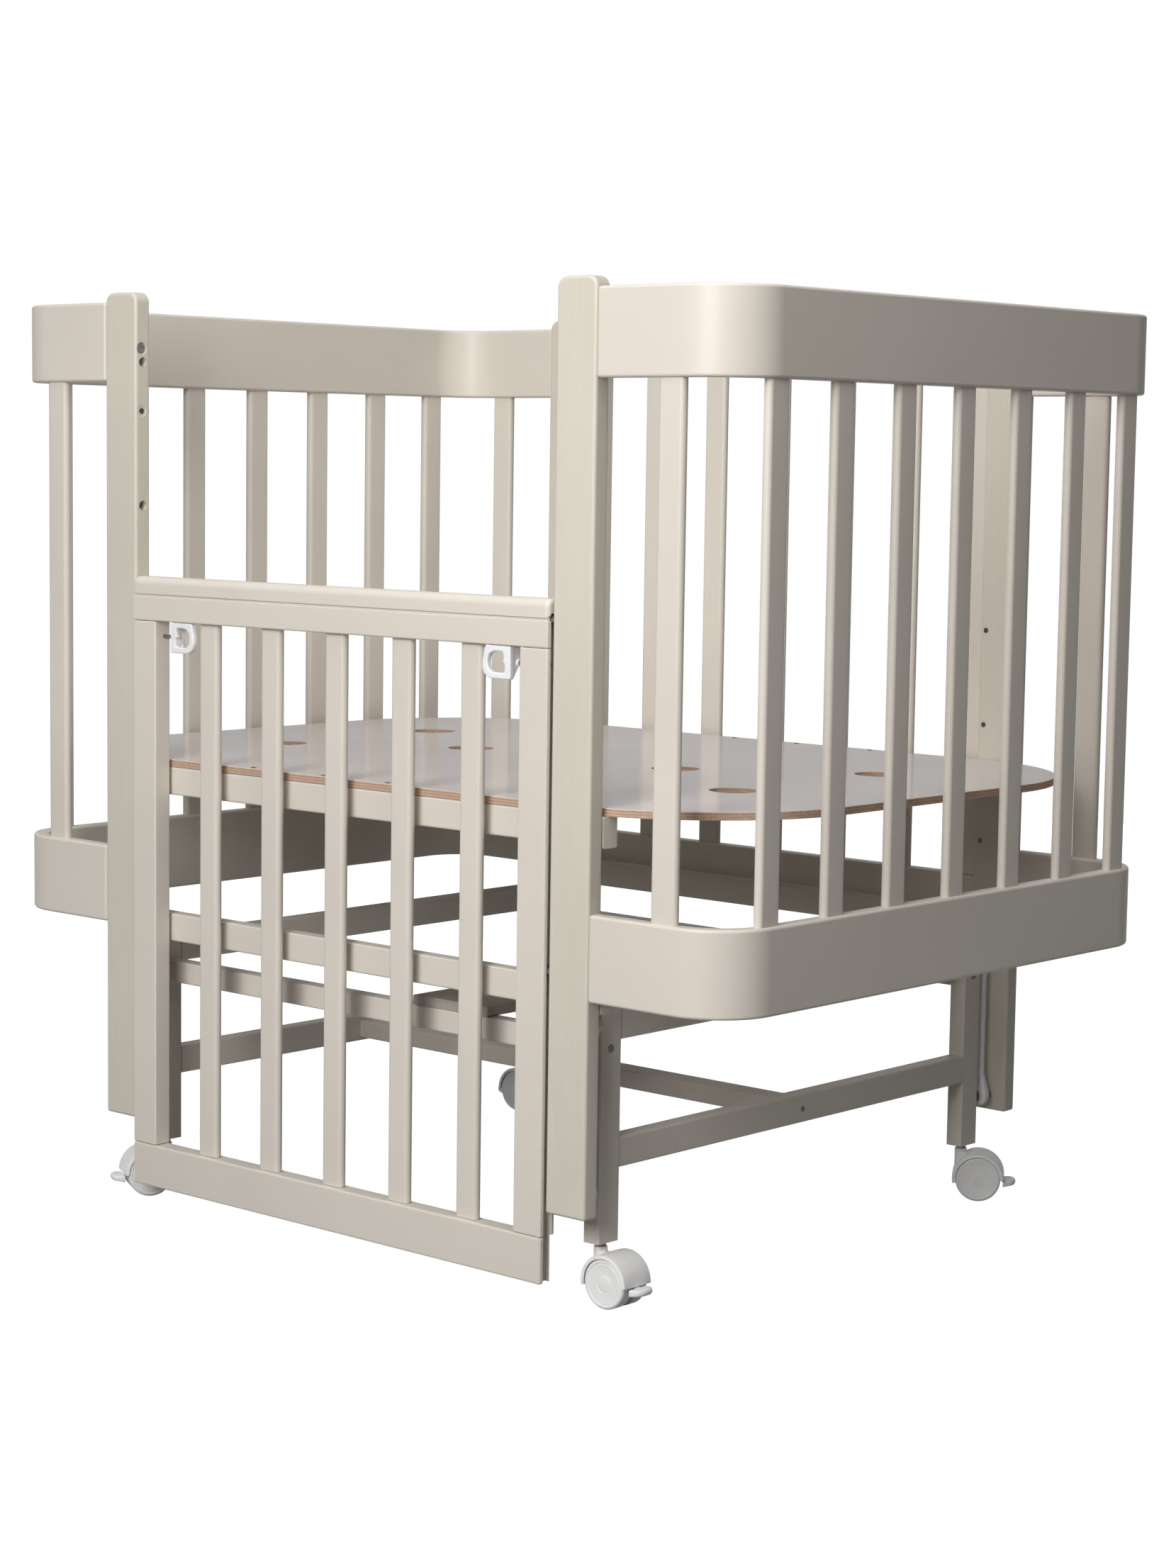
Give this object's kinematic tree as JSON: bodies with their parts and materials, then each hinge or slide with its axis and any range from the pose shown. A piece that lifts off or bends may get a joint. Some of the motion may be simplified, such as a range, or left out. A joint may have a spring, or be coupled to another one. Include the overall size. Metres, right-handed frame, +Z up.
{
  "type": "pendulum crib",
  "caption": "Slatted pendulum crib with bent end rails, a lowering gate and a raised board, swinging on links in a stand on casters.",
  "frame": {"origin": "on the floor, under the middle of the cot", "axes": "+X along the cot to the right end, -Y towards the lowering gate, +Z up"},
  "size_m": [1.039, 0.737, 0.985],
  "materials": {
    "paint": "warm grey-beige satin enamel on beech",
    "post_paint": "greyer satin enamel with a fine upright grain",
    "board_laminate": "plywood with a glossy pale laminate and bare brown edges",
    "plank": "satin enamel board",
    "white_plastic": "moulded white plastic",
    "caster_plastic": "moulded white plastic, satin",
    "steel": "plain steel pin"
  },
  "bodies": {
    "stand": {"leg_back_left": "paint", "leg_back_right": "paint", "leg_front_left": "paint", "leg_front_right": "paint", "stand_long_rail_back": "paint", "stand_long_rail_front": "paint", "stand_lower_rail_left": "paint", "stand_lower_rail_right": "paint", "stand_plank": "plank", "stand_stretcher": "paint", "stand_upper_rail_left": "paint", "stand_upper_rail_right": "paint"},
    "cot": {"back_slatted_rail": "paint", "back_stile_left": "paint", "back_stile_right": "paint", "back_top_rail": "paint", "board_cross_rail": "paint", "board_rail_back": "paint", "board_rail_front": "paint", "end_slatted_rail_left": "paint", "end_slatted_rail_right": "paint", "end_top_rail_left": "paint", "end_top_rail_right": "paint", "lower_rail_back": "paint", "lower_rail_front": "paint", "mattress_board": "board_laminate", "post_back_left": "post_paint", "post_back_right": "post_paint", "post_front_left": "post_paint", "post_front_right": "post_paint"},
    "gate": {"gate_bottom_rail": "paint", "gate_slat_1": "paint", "gate_slat_2": "paint", "gate_slat_3": "paint", "gate_slat_4": "paint", "gate_slat_5": "paint", "gate_stile_left": "paint", "gate_stile_right": "paint", "gate_top_rail": "paint"},
    "latch_left": {"latch_pull_left": "white_plastic", "latch_pin_left": "steel"},
    "latch_right": {"latch_pull_right": "white_plastic", "latch_pin_right": "steel"},
    "link_front_left": {"link_front_left": "white_plastic"},
    "caster_fork_front_left": {"caster_housing_front_left": "caster_plastic"},
    "caster_wheels_front_left": {"caster_wheels_front_left": "caster_plastic"},
    "caster_pedal_front_left": {"caster_pedal_front_left": "caster_plastic"},
    "link_front_right": {"link_front_right": "white_plastic"},
    "caster_fork_front_right": {"caster_housing_front_right": "caster_plastic"},
    "caster_wheels_front_right": {"caster_wheels_front_right": "caster_plastic"},
    "caster_pedal_front_right": {"caster_pedal_front_right": "caster_plastic"},
    "link_back_left": {"link_back_left": "white_plastic"},
    "caster_fork_back_left": {"caster_housing_back_left": "caster_plastic"},
    "caster_wheels_back_left": {"caster_wheels_back_left": "caster_plastic"},
    "caster_pedal_back_left": {"caster_pedal_back_left": "caster_plastic"},
    "link_back_right": {"link_back_right": "white_plastic"},
    "caster_fork_back_right": {"caster_housing_back_right": "caster_plastic"},
    "caster_wheels_back_right": {"caster_wheels_back_right": "caster_plastic"},
    "caster_pedal_back_right": {"caster_pedal_back_right": "caster_plastic"}
  },
  "joints": [
    {"name": "swing", "type": "hinge", "parent": "stand", "child": "link_front_left", "pos_m": [-0.3265, -0.3314, 0.275], "axis": [0, 1, 0], "range_deg": [-8, 8]},
    {"name": "swing_front_right", "type": "hinge", "parent": "stand", "child": "link_front_right", "pos_m": [0.3265, -0.3314, 0.275], "axis": [0, 1, 0], "range_deg": [-8, 8]},
    {"name": "swing_back_left", "type": "hinge", "parent": "stand", "child": "link_back_left", "pos_m": [-0.3265, 0.3314, 0.275], "axis": [0, 1, 0], "range_deg": [-8, 8]},
    {"name": "swing_back_right", "type": "hinge", "parent": "stand", "child": "link_back_right", "pos_m": [0.3265, 0.3314, 0.275], "axis": [0, 1, 0], "range_deg": [-8, 8]},
    {"name": "cot_hang", "type": "hinge", "parent": "link_front_left", "child": "cot", "pos_m": [-0.3265, -0.3314, 0.1125], "axis": [0, 1, 0], "range_deg": [-8, 8]},
    {"name": "gate_slide", "type": "slide", "parent": "cot", "child": "gate", "axis": [0, 0, 1], "range_m": [0, 0.29]},
    {"name": "latch_slide_left", "type": "slide", "parent": "gate", "child": "latch_left", "axis": [-1, 0, 0], "range_m": [-0.002, 0.0185], "stiffness_N_per_m": 150},
    {"name": "latch_slide_right", "type": "slide", "parent": "gate", "child": "latch_right", "axis": [1, 0, 0], "range_m": [-0.005, 0.0085], "stiffness_N_per_m": 150},
    {"name": "caster_swivel_front_left", "type": "hinge", "parent": "stand", "child": "caster_fork_front_left", "pos_m": [-0.3218, -0.3043, 0.061], "axis": [0, 0, 1], "continuous": true},
    {"name": "wheel_spin_front_left", "type": "hinge", "parent": "caster_fork_front_left", "child": "caster_wheels_front_left", "pos_m": [-0.33119, -0.32196, 0.025], "axis": [0.8829, -0.4695, 0], "continuous": true},
    {"name": "brake_pedal_front_left", "type": "hinge", "parent": "caster_fork_front_left", "child": "caster_pedal_front_left", "pos_m": [-0.33941, -0.33741, 0.029], "axis": [0.8829, -0.4695, 0], "range_deg": [0, 12]},
    {"name": "caster_swivel_front_right", "type": "hinge", "parent": "stand", "child": "caster_fork_front_right", "pos_m": [0.3218, -0.3043, 0.061], "axis": [0, 0, 1], "continuous": true},
    {"name": "wheel_spin_front_right", "type": "hinge", "parent": "caster_fork_front_right", "child": "caster_wheels_front_right", "pos_m": [0.3418, -0.3043, 0.025], "axis": [0, 1, 0], "continuous": true},
    {"name": "brake_pedal_front_right", "type": "hinge", "parent": "caster_fork_front_right", "child": "caster_pedal_front_right", "pos_m": [0.3593, -0.3043, 0.029], "axis": [0, 1, 0], "range_deg": [0, 12]},
    {"name": "caster_swivel_back_left", "type": "hinge", "parent": "stand", "child": "caster_fork_back_left", "pos_m": [-0.3218, 0.3043, 0.061], "axis": [0, 0, 1], "continuous": true},
    {"name": "wheel_spin_back_left", "type": "hinge", "parent": "caster_fork_back_left", "child": "caster_wheels_back_left", "pos_m": [-0.3418, 0.30465, 0.025], "axis": [-0.0175, -0.9998, 0], "continuous": true},
    {"name": "brake_pedal_back_left", "type": "hinge", "parent": "caster_fork_back_left", "child": "caster_pedal_back_left", "pos_m": [-0.35929, 0.30495, 0.029], "axis": [-0.0175, -0.9998, 0], "range_deg": [0, 12]},
    {"name": "caster_swivel_back_right", "type": "hinge", "parent": "stand", "child": "caster_fork_back_right", "pos_m": [0.3218, 0.3043, 0.061], "axis": [0, 0, 1], "continuous": true},
    {"name": "wheel_spin_back_right", "type": "hinge", "parent": "caster_fork_back_right", "child": "caster_wheels_back_right", "pos_m": [0.33857, 0.31519, 0.025], "axis": [-0.5446, 0.8387, 0], "continuous": true},
    {"name": "brake_pedal_back_right", "type": "hinge", "parent": "caster_fork_back_right", "child": "caster_pedal_back_right", "pos_m": [0.35325, 0.32472, 0.029], "axis": [-0.5446, 0.8387, 0], "range_deg": [0, 12]}
  ],
  "couplings": [
    {"joint": "swing_front_right", "follows": "swing", "ratio": 1},
    {"joint": "swing_back_left", "follows": "swing", "ratio": 1},
    {"joint": "swing_back_right", "follows": "swing", "ratio": 1},
    {"joint": "cot_hang", "follows": "swing", "ratio": -1}
  ]
}
